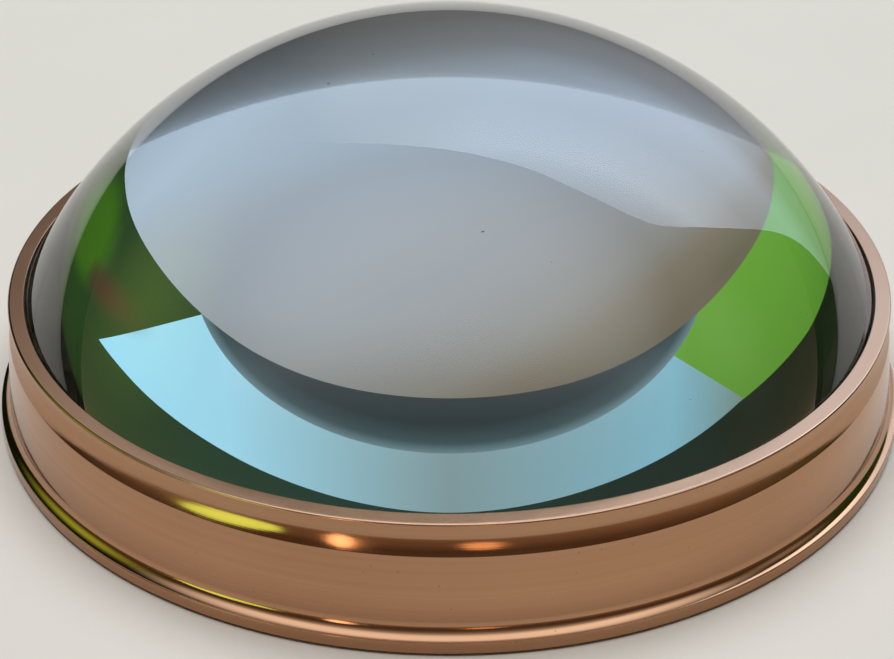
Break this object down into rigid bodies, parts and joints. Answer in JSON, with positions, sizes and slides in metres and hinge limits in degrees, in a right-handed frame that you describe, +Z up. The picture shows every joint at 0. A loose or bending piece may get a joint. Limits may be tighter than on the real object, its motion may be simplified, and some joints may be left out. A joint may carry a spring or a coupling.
{
  "type": "dome magnifier",
  "caption": "Free-standing low vision magnifier: a solid glass dome in a polished, turned brass ring, to be slid over a printed page.",
  "frame": {"origin": "centre of the footprint, on the surface that the felt ring rests on", "axes": "+Z up, along the optical axis; the part is round about it. -Y faces the viewer. The spanner notches lie on X"},
  "size_m": [0.095, 0.095, 0.0397],
  "materials": {
    "lens_glass": "polished dome and flat face, ground edge",
    "polished_brass": "mirror polished, lathe turned",
    "foot_brass": "polished outside, turned inside",
    "gasket_rubber": "matt",
    "washer_rubber": "matt",
    "felt": "pressed wool felt"
  },
  "bodies": {
    "root": {"dome_lens": "lens_glass", "bezel_ring": "polished_brass", "base_ring": "foot_brass", "seat_gasket": "gasket_rubber", "cushion_washer": "washer_rubber", "felt_ring": "felt"}
  },
  "joints": []
}
